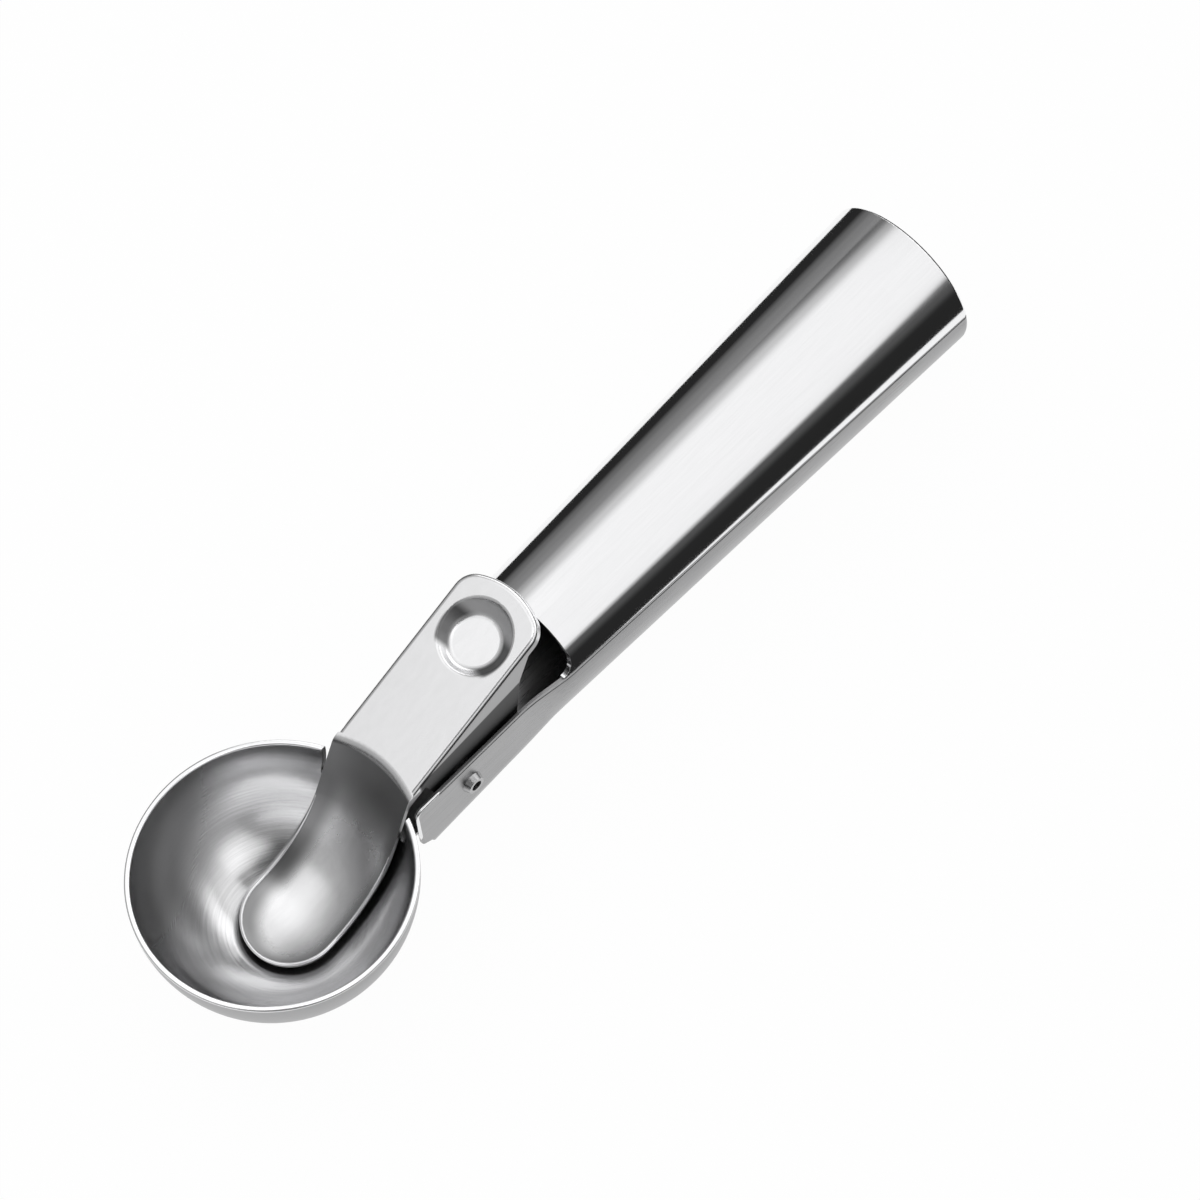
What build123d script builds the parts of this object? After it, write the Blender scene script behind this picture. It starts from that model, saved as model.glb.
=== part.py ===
from build123d import *
import os
from math import acos, atan2, ceil, cos, degrees, dist, hypot, pi, radians, sin, sqrt, tan

# Ice cream scoop with a thumb lever, in millimetres, +Z up.
# The model is drawn about the centre of the bowl's rim, X towards the handle's end, and is then placed
# so that the origin is the middle of the box's underside.

# Overall
overall_length = 190.0
cut_overrun = 6.0

# Bowl
bowl_radius = 26.0
bowl_wall = 1.0
rim_round = 0.3
notch_gap = 1.1
notch_depth = 8.0
notch_corner = 1.2

# Handle shells: drops are below the rim, reaches are from the bowl's outside towards the handle
shell_wall = 0.9
seam_drop = 1.4
underside_drop = 19.6
mouth_reach = 38.7
mouth_corner = 3.0
mouth_toe = 0.6
mouth_radius = 12.7
mouth_axis_drop = 5.3
end_radius = 15.9
end_axis_drop = 3.8
end_round = 1.0
seam_round = 0.4

# Open channel in front of the handle
channel_width = 21.5
cheek_gap = 1.28
channel_front_bend = 4.5
channel_rear_bend = 7.0
flare_lead = 0.7
flare_length = 12.0
cheek_corner = 1.6
relief_drop = 13.4
relief_length = 3.0
relief_rise = 1.8
tab_width = 12.4
tab_lap = 8.0

# Pivot
pivot_reach = 12.3
pivot_drop = 7.9
running_clearance = 0.05
rivet_radius = 1.5
rivet_head_radius = 2.6
rivet_head_height = 1.2
rivet_set_radius = 2.2
rivet_set_crown = 1.75
rivet_set_bore = 1.1
rivet_set_height = 1.2
rivet_bore_depth = 2.6
sleeve_wall = 0.7
washer_radius = 4.2
washer_play = 0.05

# Thumb lever
ear_gap = 0.55
lever_sheet = 1.0
lever_edge_round = 0.9
plate_rise = 21.5
plate_reach = 2.0
plate_front_height = 3.9
plate_length = 37.2
plate_corner = 4.5
plate_end_radius = 15.0
plate_lip = 2.2
flange_front_reach = 2.9
flange_heel_reach = 27.7
flange_heel_height = 7.2
flange_toe_reach = 25.8
flange_toe_drop = 3.5
ear_radius = 5.5
dish_place = 26.0
dish_edge_margin = 2.34
dish_depth = 2.1
dish_tilt = 6.0
dish_wall_angle = 47.0
dish_floor_round = 1.6
dish_round = 0.8

# Tongue of the lever
tongue_sheet = 0.9
tongue_gap = 1.0
tongue_root_angle = 25.0
tongue_tip_centre = 1.7
tongue_bend_round = 2.4

# Return spring
spring_wire = 0.9
spring_gap = 0.45
spring_pitch = 1.5
spring_turns = 6
spring_floor_reach = 34.0
spring_plate_place = 19.0
spring_seat_gap = 0.1
spring_floor_lift = 1.6

# Solids that stand on their own base
on_base = (Align.CENTER, Align.CENTER, Align.MIN)

# Values worked out from the sizes above
handle_end = overall_length - bowl_radius
mouth_x = bowl_radius + mouth_reach
flare_end = mouth_x - flare_lead
flare_x = flare_end - flare_length
bowl_inside = bowl_radius - bowl_wall
channel_half = channel_width / 2
cheek_inside = channel_half - shell_wall
lever_half = cheek_inside - ear_gap
lever_width = 2 * lever_half
cheek_front = sqrt(bowl_radius ** 2 - cheek_inside ** 2 - seam_drop ** 2) + cheek_gap
pivot = Vector(bowl_radius + pivot_reach, 0, -pivot_drop)
sleeve_radius = rivet_radius + running_clearance + sleeve_wall
plate_along = Vector(cos(radians(plate_rise)), 0, sin(radians(plate_rise)))
plate_normal = Vector(-plate_along.Z, 0, plate_along.X)
plate_front = Vector(bowl_radius + plate_reach, 0, plate_front_height)
dish_floor_radius = lever_half - dish_edge_margin - dish_depth / tan(radians(dish_wall_angle))
tongue_lower = bowl_inside - tongue_gap
tongue_upper = tongue_lower - tongue_sheet


def blend(a, b, share):
    """Point or number that lies the given share of the way from a to b."""
    if isinstance(a, tuple):
        return tuple(blend(p, q, share) for p, q in zip(a, b))
    return a + (b - a) * share


def arc_or_line(start, middle, end):
    """Arc through three points, or a line where they are in line."""
    area = (middle[0] - start[0]) * (end[1] - start[1]) - (middle[1] - start[1]) * (end[0] - start[0])
    straight = abs(area) < 1e-6 * dist(start, end) ** 2
    return Line(start, end) if straight else ThreePointArc(start, middle, end)


def section_plane(x):
    """Plane across the handle at x, with Y and Z as its own axes."""
    return Plane(origin=(x, 0, 0), x_dir=(0, 1, 0), z_dir=(1, 0, 0))


def side_prism(outline, low_y, high_y):
    """Closed outline in X and Z, drawn out along Y between two places."""
    face = Plane.XZ * make_face(Polyline(*outline, close=True))
    return Pos(0, high_y, 0) * extrude(face, high_y - low_y)


def across(radius, low_y, high_y):
    """Round bar along the pivot's axis."""
    bar = Rot(-90, 0, 0) * Cylinder(radius, high_y - low_y, align=on_base)
    return Pos(pivot.X, low_y, pivot.Z) * bar


def handle_share(x):
    """Share of the closed handle's length that lies before x."""
    return (x - mouth_x) / (handle_end - mouth_x)


def handle_axis(x):
    """Height of the round handle's axis at x."""
    return -blend(mouth_axis_drop, end_axis_drop, handle_share(x))


def handle_radius(x):
    """Outside radius of the round handle at x."""
    return blend(mouth_radius, end_radius, handle_share(x))


side_share_angles = (20.0, 42.5, 65.0)


def round_points(x, inset):
    """Half outline of the round handle below its seam: seam, side, and three places round to the bottom."""
    axis, radius = handle_axis(x), handle_radius(x) - inset
    depth = axis + underside_drop - inset
    seam = (sqrt(radius ** 2 - (axis + seam_drop) ** 2), -seam_drop)
    turns = [radians(a) for a in side_share_angles]
    low = [(radius * cos(a), axis - depth * sin(a)) for a in turns]
    return [seam, (radius, axis), *low, (0.0, axis - depth)]


def channel_points(x, inset):
    """Half outline of the open channel at x, with the same places as the round outline."""
    along = (x - cheek_front) / (flare_x - cheek_front)
    bend = blend(channel_front_bend, channel_rear_bend, along) - inset
    half, floor = channel_half - inset, -underside_drop + inset
    centre = (half - bend, floor + bend)
    corner = (centre[0] + bend * cos(pi / 4), centre[1] - bend * sin(pi / 4))
    side = (half, (centre[1] - seam_drop) / 2)
    return [(half, -seam_drop), side, (half, centre[1]), corner, (centre[0], floor), (0.0, floor)]


def trough_section(x, inset):
    """Closed outline of the trough at x: channel in front, round behind, blended over the flare."""
    share = min(max((x - flare_x) / flare_length, 0.0), 1.0)
    share = share * share * (3 - 2 * share)
    points = blend(tuple(channel_points(x, inset)), tuple(round_points(max(x, flare_x), inset)), share)
    seam, side, low, corner, heel, bottom = points
    other = [(-y, z) for y, z in points]
    edges = [
        arc_or_line(seam, side, low),
        arc_or_line(low, corner, heel),
        arc_or_line(heel, bottom, other[4]),
        arc_or_line(other[4], other[3], other[2]),
        arc_or_line(other[2], other[1], other[0]),
        Line(other[0], seam),
    ]
    return section_plane(x) * make_face(edges)


flare_stations = 4


def trough_solid(start, end, inset):
    """Solid of the trough's outside, or of its inside when inset by the wall."""
    stations = [flare_x + flare_length * i / flare_stations for i in range(flare_stations + 1)]
    front = loft([trough_section(start, inset), trough_section(flare_x, inset)], ruled=True)
    flare = loft([trough_section(x, inset) for x in stations])
    rear = loft([trough_section(flare_end, inset), trough_section(end, inset)], ruled=True)
    return front + flare + rear


end_share_angles = (0.0, 30.0, 60.0, 90.0)


def end_stations():
    """Places along the handle's rounded end, each with how far the outline is drawn in there."""
    turns = [radians(a) for a in end_share_angles]
    return [(handle_end - end_round * (1 - sin(a)), end_round * (1 - cos(a))) for a in turns]


def make_lower_shell():
    """Trough with its cheeks, closed at the handle's end and lapped under the bowl."""
    start = bowl_radius / 2
    shell = trough_solid(start, handle_end - end_round, 0.0)
    shell += loft([trough_section(x, inset) for x, inset in end_stations()])
    shell -= trough_solid(start, handle_end - shell_wall, shell_wall)
    shell -= Sphere(bowl_radius)
    for side in (-1, 1):
        shell -= cheek_front_cut(side)
    shell += bowl_tab()
    shell -= across(rivet_radius + running_clearance, -channel_width, channel_width)
    corners = shell.edges().filter_by(Axis.Y).filter_by_position(
        Axis.X, cheek_front - rim_round, cheek_front + rim_round
    )
    top = corners.filter_by(lambda e: e.center().Z > -seam_drop - rim_round)
    return round_seam(fillet(top, cheek_corner))


def round_seam(shell):
    """Shell with its outer edge rounded all along the seam, which is one smooth chain."""
    seam = shell.edges().filter_by_position(Axis.Z, -seam_drop - rim_round / 2, -seam_drop + rim_round / 2)
    return fillet(seam.sort_by(Axis.Y)[0], seam_round)


def cheek_front_cut(side):
    """What is cut away in front of one cheek, with the relief at the foot of its bend."""
    front = -cut_overrun
    outline = [
        (front, cut_overrun),
        (cheek_front, cut_overrun),
        (cheek_front, -relief_drop),
        (cheek_front + relief_length, -relief_drop - relief_rise),
        (cheek_front + relief_length, -underside_drop - cut_overrun),
        (front, -underside_drop - cut_overrun),
    ]
    near, far = tab_width / 2, channel_half + cut_overrun
    return side_prism(outline, near, far) if side > 0 else side_prism(outline, -far, -near)


def bowl_tab():
    """Tab of the trough's floor that laps the bowl's underside."""
    lap_front = sqrt(bowl_radius ** 2 - underside_drop ** 2) - tab_lap
    lap_back = sqrt((bowl_radius + shell_wall) ** 2 - (underside_drop - shell_wall) ** 2)
    skin = Sphere(bowl_radius + shell_wall) - Sphere(bowl_radius)
    low, high = -bowl_radius - cut_overrun, -underside_drop + shell_wall
    outline = [(lap_front, low), (lap_back, low), (lap_back, high), (lap_front, high)]
    return skin & side_prism(outline, -tab_width / 2, tab_width / 2)


def cover_section(x, inset):
    """Closed outline of the handle above its seam at x."""
    axis, radius = handle_axis(x), handle_radius(x) - inset
    half = sqrt(radius ** 2 - (axis + seam_drop) ** 2)
    arc = ThreePointArc((half, -seam_drop), (0, axis + radius), (-half, -seam_drop))
    return section_plane(x) * make_face([arc, Line((-half, -seam_drop), (half, -seam_drop))])


def make_upper_shell():
    """Cover of the handle, cut open at its mouth with rounded corners at the seam."""
    start = mouth_x - mouth_corner
    shell = loft([cover_section(start, 0.0), cover_section(handle_end - end_round, 0.0)], ruled=True)
    shell += loft([cover_section(x, inset) for x, inset in end_stations()])
    inner_end = handle_end - shell_wall
    shell -= loft([cover_section(start, shell_wall), cover_section(inner_end, shell_wall)], ruled=True)
    floor = -seam_drop + mouth_toe
    corner = Pos(start, 0, floor + mouth_corner) * (Rot(90, 0, 0) * Cylinder(mouth_corner, 4 * end_radius))
    top = mouth_radius + cut_overrun
    outline = [(start - cut_overrun, floor), (mouth_x, floor), (mouth_x, top), (start - cut_overrun, top)]
    block = side_prism(outline, -2 * end_radius, 2 * end_radius)
    wedge = [(start, floor), (mouth_x, floor), (mouth_x, floor + mouth_corner), (start, floor + mouth_corner)]
    keep = side_prism(wedge, -2 * end_radius, 2 * end_radius) - corner
    return round_seam(shell - (block - keep))


def make_bowl():
    """Half sphere with the rim notch that the lever's root swings through."""
    bowl = Sphere(bowl_radius) - Sphere(bowl_inside)
    cap = Box(4 * bowl_radius, 4 * bowl_radius, 2 * bowl_radius, align=on_base)
    bowl -= cap
    notch = section_plane(0) * RectangleRounded(lever_width + 2 * notch_gap, 2 * notch_depth, notch_corner)
    bowl -= extrude(notch, bowl_radius + cut_overrun)
    rim = bowl.edges().filter_by(GeomType.CIRCLE).filter_by_position(Axis.Z, -rim_round / 2, rim_round / 2)
    return fillet(rim, rim_round)


def plate_plane(depth=0.0):
    """Plane of the thumb plate's top, or below it, with X up the plate and Y across it."""
    return Plane(origin=plate_front - plate_normal * depth, x_dir=plate_along, z_dir=plate_normal)


def plate_corner_place():
    """Centre of the plate's corner, up the plate and across it, where its side and end run on smoothly."""
    across_plate = lever_half - plate_corner
    up = sqrt((plate_end_radius - plate_corner) ** 2 - across_plate ** 2)
    return plate_length - plate_end_radius + up, across_plate


def plate_outline(inset):
    """Outline of the thumb plate: straight sides, rounded corners and a curved end, drawn in by the inset."""
    centre = plate_corner_place()
    half, corner, crown = lever_half - inset, plate_corner - inset, plate_end_radius - inset
    crown_centre = plate_length - plate_end_radius
    lean = atan2(centre[1], centre[0] - crown_centre)
    shoulder = (crown_centre + crown * cos(lean), crown * sin(lean))
    turn = lean / 2 + pi / 4
    knee = (centre[0] + corner * cos(turn), centre[1] + corner * sin(turn))
    start = -bowl_radius / 2
    edges = [
        Line((start, half), (centre[0], half)),
        ThreePointArc((centre[0], half), knee, shoulder),
        ThreePointArc(shoulder, (plate_length - inset, 0), (shoulder[0], -shoulder[1])),
        ThreePointArc((shoulder[0], -shoulder[1]), (knee[0], -knee[1]), (centre[0], -half)),
        Line((centre[0], -half), (start, -half)),
        Line((start, -half), (start, half)),
    ]
    return make_face(edges)


def tongue_profile(radius, height):
    """Side line of a tongue surface: an arc about the bowl's centre, then its straight root."""
    root = radians(tongue_root_angle)
    foot = (radius * cos(root), -radius * sin(root))
    rise = height - foot[1]
    top = (foot[0] + rise * tan(root), height)
    middle = (radius * cos(pi / 4 + root / 2), -radius * sin(pi / 4 + root / 2))
    return (0.0, -radius), middle, foot, top


def tongue_core(radius, height):
    """Round solid that lies inside one surface of the tongue and its root, below a height."""
    bottom, middle, foot, top = tongue_profile(radius, height)
    axis_top = (0, height)
    wall = [ThreePointArc(bottom, middle, foot), Line(foot, top)]
    lid = [Line(top, axis_top), Line(axis_top, bottom)]
    return revolve(Plane.XZ * make_face(wall + lid), Axis.Z)


def make_tongue(height):
    """Spherical tongue with its root, cut to its plan."""
    shell = tongue_core(tongue_lower, height) - tongue_core(tongue_upper, height)
    reach = 2 * bowl_radius
    plan = Pos(tongue_tip_centre + reach / 2, 0) * Rectangle(reach, lever_width)
    plan += Pos(tongue_tip_centre, 0) * Circle(lever_half)
    prism = Pos(0, 0, -2 * bowl_radius) * extrude(plan, 4 * bowl_radius)
    return shell & prism


def flange_outline():
    """Outline of a side flange with its pivot ear, without the ear's round."""
    def under_plate(x):
        rise = (x - plate_front.X) * tan(radians(plate_rise))
        return plate_front_height + rise - lever_sheet / plate_along.X
    front = bowl_radius + flange_front_reach
    rear = plate_front.X + plate_corner_place()[0] * plate_along.X
    return [
        (front, under_plate(front)),
        (rear, under_plate(rear)),
        (bowl_radius + flange_heel_reach, flange_heel_height),
        (bowl_radius + flange_toe_reach, -flange_toe_drop),
        (pivot.X, pivot.Z - ear_radius),
        (pivot.X - ear_radius, pivot.Z),
    ]


def thumb_dish(grow):
    """Thumb hollow, deepest at the rear, grown by the sheet for its underside."""
    height = dish_depth + grow + cut_overrun
    foot = dish_floor_radius + grow * tan(radians(dish_wall_angle) / 2)
    mouth = foot + height / tan(radians(dish_wall_angle))
    hollow = Cone(foot, mouth, height, align=on_base)
    hollow = fillet(hollow.edges().sort_by(Axis.Z)[0], dish_floor_round + grow)
    place = Pos(dish_place, 0, 0) * Rot(0, dish_tilt, 0) * Pos(0, 0, -dish_depth - grow)
    return plate_plane() * (place * hollow)


def dish_rim(lever):
    """Edges along which the thumb plate's top meets its hollow."""
    top = lever.faces().filter_by(plate_plane()).sort_by(Axis(plate_front, plate_normal))[-1]
    return top.inner_wires()[0].edges()


def make_thumb_lever():
    """Thumb plate, side flanges with ears, and tongue, as one stamping."""
    above = plate_front_height + cut_overrun
    lever = thumb_plate()
    for side in (-1, 1):
        low, high = sorted((side * lever_half, side * (lever_half - lever_sheet)))
        lever += side_prism(flange_outline(), low, high) + across(ear_radius, low, high)
    underneath = extrude(plate_plane(lever_sheet) * plate_outline(lever_sheet), -cut_overrun)
    lever += thumb_dish(lever_sheet) & underneath
    lever -= thumb_dish(0.0)
    lever = fillet(dish_rim(lever), dish_round)
    lever -= tongue_core(tongue_lower, above)
    over = extrude(plate_plane() * Rectangle(8 * bowl_radius, 4 * bowl_radius), 2 * bowl_radius)
    tongue = make_tongue(above) - over
    lever += fillet(bend_edges(tongue), tongue_bend_round)
    return lever - across(sleeve_radius + running_clearance, -lever_width, lever_width)


def thumb_plate():
    """Thumb plate with its rounded upper edge and its lip, open below."""
    plate = extrude(plate_plane(plate_lip) * plate_outline(0.0), plate_lip)
    top = plate.faces().filter_by(plate_plane()).sort_by(Axis(plate_front, plate_normal))[-1]
    plate = fillet(top.edges().filter_by(lambda e: on_plate(e).X > 0), lever_edge_round)
    return plate - extrude(plate_plane(plate_lip) * plate_outline(lever_sheet), plate_lip - lever_sheet)


def on_plate(edge):
    """Place of an edge's middle on the thumb plate: up the plate, across it and above its top."""
    return plate_plane().to_local_coords(edge.center())


def bend_edges(tongue):
    """Edges along which the upper side of the tongue's root meets the top of the thumb plate."""
    edges = tongue.edges().filter_by(GeomType.ELLIPSE).filter_by(lambda e: abs(on_plate(e).Z) < rim_round)
    nearest = min(on_plate(e).X for e in edges)
    return edges.filter_by(lambda e: on_plate(e).X < nearest + rim_round)


def make_rivet():
    """Semi-tubular rivet: domed head on the far cheek, rolled hollow end on the near one."""
    seat = channel_half
    rivet = across(rivet_radius, -seat - rivet_set_height, seat + rivet_head_height / 2)
    head = across(rivet_head_radius, seat, seat + rivet_head_height)
    rim = head.edges().filter_by(GeomType.CIRCLE).sort_by(Axis.Y)[-1]
    rivet += fillet(rim, 0.8 * rivet_head_height)
    ring = Cone(rivet_set_radius, rivet_set_crown, rivet_set_height, align=on_base)
    rivet += Pos(pivot.X, -seat, pivot.Z) * (Rot(90, 0, 0) * ring)
    return rivet - across(rivet_set_bore, -seat - cut_overrun, -seat - rivet_set_height + rivet_bore_depth)


def make_sleeve():
    """Tube on the rivet between the cheeks."""
    return across(sleeve_radius, -cheek_inside, cheek_inside) - across(
        rivet_radius + running_clearance, -channel_half, channel_half
    )


def make_washer(side):
    """Thin ring between one ear and its cheek."""
    low, high = sorted((side * (lever_half + washer_play), side * (cheek_inside - washer_play)))
    bore = across(sleeve_radius + running_clearance, -channel_half, channel_half)
    return across(washer_radius, low, high) - bore


def biarc(start, start_dir, end, end_dir):
    """Two tangent arcs from one point and direction to another."""
    chord = end - start
    lead = start_dir + end_dir
    a = lead.dot(lead) - 4
    b = -2 * chord.dot(lead)
    c = chord.dot(chord)
    reach = c / -b if abs(a) < 1e-9 else (-b - sqrt(b * b - 4 * a * c)) / (2 * a)
    reach = abs(reach)
    joint = (start + start_dir * reach + end - end_dir * reach) / 2
    leave = TangentArc(start, joint, tangent=start_dir)
    arrive = TangentArc(joint, end, tangent=(end - end_dir * reach) - joint)
    return [leave, arrive]


def leg_angle(end, turn):
    """Angle round the coil, from its top, where a leg to the given end leaves (1) or joins it (-1)."""
    dx, dz = end[0] - pivot.X, end[1] - pivot.Z
    return atan2(dx, dz) - turn * acos(spring_radius / hypot(dx, dz))


def leg_length(end):
    """Length of a leg, from where it touches the coil to its end."""
    flat = sqrt((end[0] - pivot.X) ** 2 + (end[1] - pivot.Z) ** 2 - spring_radius ** 2)
    return flat * hypot(spring_radius, coil_lean) / spring_radius


spring_radius = sleeve_radius + spring_gap + spring_wire / 2
coil_lean = spring_pitch / (2 * pi)
seat_drop = lever_sheet + spring_wire / 2 + spring_seat_gap
plate_seat = plate_front + plate_along * spring_plate_place - plate_normal * seat_drop
plate_end = (plate_seat.X, plate_seat.Z)
floor_seat = -underside_drop + shell_wall + spring_floor_lift
floor_end = (bowl_radius + spring_floor_reach, floor_seat + spring_wire / 2 + spring_seat_gap)
coil_start = leg_angle(floor_end, -1)
coil_sweep = leg_angle(plate_end, 1) + 2 * pi * spring_turns - coil_start


def coil_point(angle):
    """Place and direction on the coil after turning by an angle from its start."""
    turned = coil_start + angle
    y = (angle - coil_sweep / 2) * coil_lean
    place = Vector(pivot.X + spring_radius * sin(turned), y, pivot.Z + spring_radius * cos(turned))
    heading = Vector(spring_radius * cos(turned), coil_lean, -spring_radius * sin(turned))
    return place, heading.normalized()


def make_spring():
    """Torsion spring: a leg from the trough's floor, the coil on the sleeve, a leg under the thumb plate."""
    steps = ceil(coil_sweep / (pi / 2))
    nodes = [coil_point(coil_sweep * i / steps) for i in range(steps + 1)]
    start = nodes[0][0] - nodes[0][1] * leg_length(floor_end)
    end = nodes[-1][0] + nodes[-1][1] * leg_length(plate_end)
    edges = [Line(start, nodes[0][0])]
    for first, second in zip(nodes, nodes[1:]):
        edges += biarc(*first, *second)
    edges.append(Line(nodes[-1][0], end))
    path = Wire([e.edge() for e in edges])
    print("spring, least gap to itself:", round(least_gap(path), 3))
    section = Plane(origin=start, z_dir=nodes[0][1]) * Circle(spring_wire / 2)
    return sweep(section, path)


def least_gap(path):
    """Least free gap between one turn of the wire and another, measured on points along it."""
    count = ceil(path.length / (spring_wire / 2))
    points = [path.position_at(i / count) for i in range(count + 1)]
    apart = ceil(pi * spring_radius / (path.length / count))
    pairs = ((p, q) for i, p in enumerate(points) for q in points[i + apart:])
    return min((p - q).length for p, q in pairs) - spring_wire


pieces = {
    "bowl": make_bowl(),
    "lower_shell": make_lower_shell(),
    "upper_shell": make_upper_shell(),
    "thumb_lever": make_thumb_lever(),
    "pivot_rivet": make_rivet(),
    "pivot_sleeve": make_sleeve(),
    "return_spring": make_spring(),
    "near_washer": make_washer(-1),
    "far_washer": make_washer(1),
}

os.makedirs("parts", exist_ok=True)
place = Pos(bowl_radius - overall_length / 2, 0, bowl_radius)
for name, piece in pieces.items():
    placed = place * piece
    solids = placed.solids()
    box = placed.bounding_box()
    print(name, len(solids), "solid", round(placed.volume, 1), "mm3", box.min, box.max)
    export_step(solids[0], f"parts/{name}.step")
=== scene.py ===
# %% [markdown]
# # An ice cream scoop with a thumb lever
# The scoop is all metal: a satin bowl, a stamped lever whose tongue lies in the bowl, a satin trough
# that carries the pivot, and a mirror-polished cover on the handle. The solids come from the packed
# model, which is loaded here as a fixed frame, in metres. Blender adds the finishes, the spring's wire,
# the polished edges, the studio and the camera.

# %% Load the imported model
import math

import bmesh
import bpy
from mathutils import Matrix, Vector


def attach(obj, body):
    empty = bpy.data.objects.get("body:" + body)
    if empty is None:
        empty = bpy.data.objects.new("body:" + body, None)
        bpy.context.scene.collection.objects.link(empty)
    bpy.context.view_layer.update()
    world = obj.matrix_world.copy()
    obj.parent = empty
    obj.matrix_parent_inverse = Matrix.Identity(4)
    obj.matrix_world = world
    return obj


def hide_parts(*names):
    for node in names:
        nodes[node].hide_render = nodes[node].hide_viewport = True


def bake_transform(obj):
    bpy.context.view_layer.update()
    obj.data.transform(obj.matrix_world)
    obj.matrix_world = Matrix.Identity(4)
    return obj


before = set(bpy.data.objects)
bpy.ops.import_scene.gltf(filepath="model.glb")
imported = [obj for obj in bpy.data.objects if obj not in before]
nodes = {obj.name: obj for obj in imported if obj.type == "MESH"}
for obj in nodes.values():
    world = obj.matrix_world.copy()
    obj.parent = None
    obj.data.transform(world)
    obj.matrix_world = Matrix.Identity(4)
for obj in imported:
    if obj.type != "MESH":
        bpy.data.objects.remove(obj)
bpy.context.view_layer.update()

print("pieces in the frame:", sorted(nodes))

# %% [markdown]
# ## The camera
# The photograph looks down on the scoop from its front left, with a long lens, so that the handle hardly
# narrows with distance. A camera can be aimed with a tracking constraint, but the picture is also turned
# a little about the line of sight, and plain angles hold that turn as well.

# %% Camera at the photograph's viewing angle
MM = 0.001
CAMERA_PLACE = Vector((-299.369, -381.955, 975.109)) * MM
CAMERA_TURN = (0.46876, 0.064425, -0.811795)
LENS_MM = 180.0
SENSOR_MM = 36.0

scene = bpy.context.scene
camera_data = bpy.data.cameras.new("photo_camera")
camera_data.lens = LENS_MM
camera_data.sensor_width = SENSOR_MM
camera = bpy.data.objects.new("photo_camera", camera_data)
camera.location = CAMERA_PLACE
camera.rotation_euler = CAMERA_TURN
scene.collection.objects.link(camera)
scene.camera = camera
scene.view_settings.view_transform = "Standard"
print("camera is", round(CAMERA_PLACE.length, 3), "m from the origin")

# %% [markdown]
# ## The return spring
# A torsion spring lies hidden in the channel: a coil of round wire on the sleeve, with one leg on the
# trough's floor and one under the thumb plate. The wire winds up when the lever moves. A curve with a
# bevel could draw it, but here it is a mesh. A small disc is spun about the pivot with a shift at each
# step, which winds the coil, and the last discs at both ends are pulled out along the wire as the legs.

# %% Sizes of the spring
PIVOT = Vector((-30.7, 0.0, 18.1)) * MM
WIRE_RADIUS = 0.45 * MM
WIRE_SIDES = 14
END_BREAK = WIRE_RADIUS / 5
MERGE_WITHIN = WIRE_RADIUS / 1000
COIL_RADIUS = 3.15 * MM
COIL_PITCH = 1.5 * MM
COIL_START = 3.38565
COIL_SWEEP = 33.33882
FLOOR_LEG = 23.2135 * MM
PLATE_LEG = 18.8488 * MM
STEPS_PER_TURN = 30

coil_lean = COIL_PITCH / (2 * math.pi)
coil_half = COIL_SWEEP * coil_lean / 2
coil_steps = round(STEPS_PER_TURN * COIL_SWEEP / (2 * math.pi))
print("coil is", round(2 * coil_half / MM, 2), "mm long, in", coil_steps, "steps")


# %% Helpers for wires and beads
def start_disc(shape, place, heading, radius, sides, capped):
    """First round section of a new wire or bead, square to its direction; its ring of edges."""
    turn = heading.to_track_quat("Z", "Y").to_matrix().to_4x4()
    there = Matrix.Translation(place) @ turn
    bmesh.ops.create_circle(shape, cap_ends=capped, segments=sides, radius=radius, matrix=there)
    return shape.edges[:]


def pull_ring(shape, ring):
    """Extrudes a ring of edges; the points and the edges of the new ring, which hasn't moved yet."""
    pulled = bmesh.ops.extrude_edge_only(shape, edges=ring)["geom"]
    front = [item for item in pulled if isinstance(item, bmesh.types.BMVert)]
    edges = [item for item in pulled if isinstance(item, bmesh.types.BMEdge)]
    return front, [edge for edge in edges if all(vert in front for vert in edge.verts)]


def new_piece(name, shape):
    """Object made from a bmesh, which is freed."""
    mesh = bpy.data.meshes.new(name)
    shape.to_mesh(mesh)
    shape.free()
    piece = bpy.data.objects.new(name, mesh)
    scene.collection.objects.link(piece)
    return piece


def smooth_piece(name, shape):
    """Object made from a closed, smooth bmesh, with its faces turned outwards."""
    bmesh.ops.recalc_face_normals(shape, faces=shape.faces)
    for face in shape.faces:
        face.smooth = True
    open_edges = [edge for edge in shape.edges if not edge.is_manifold]
    print(name, "has", len(shape.faces), "faces and", len(open_edges), "open edges")
    return new_piece(name, shape)


# %% Line of the coil and its legs
def coil_place(turned):
    """Middle of the wire where the coil has turned by an angle from its start."""
    angle = COIL_START + turned
    shift = turned * coil_lean - coil_half
    return PIVOT + Vector((COIL_RADIUS * math.sin(angle), shift, COIL_RADIUS * math.cos(angle)))


def coil_heading(turned):
    """Direction of the wire there."""
    angle = COIL_START + turned
    return Vector((COIL_RADIUS * math.cos(angle), coil_lean, -COIL_RADIUS * math.sin(angle))).normalized()


def pull_leg(shape, ring, way, length):
    """Pulls a ring out along the wire as a straight leg, whose cut end is slightly broken at its edge."""
    tip, rim = pull_ring(shape, ring)
    bmesh.ops.translate(shape, verts=tip, vec=way * length)
    cap = bmesh.ops.contextual_create(shape, geom=rim)["faces"]
    bmesh.ops.bevel(
        shape, geom=rim + cap, offset=END_BREAK, affect="EDGES", segments=2, profile=0.5, material=-1
    )


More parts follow.
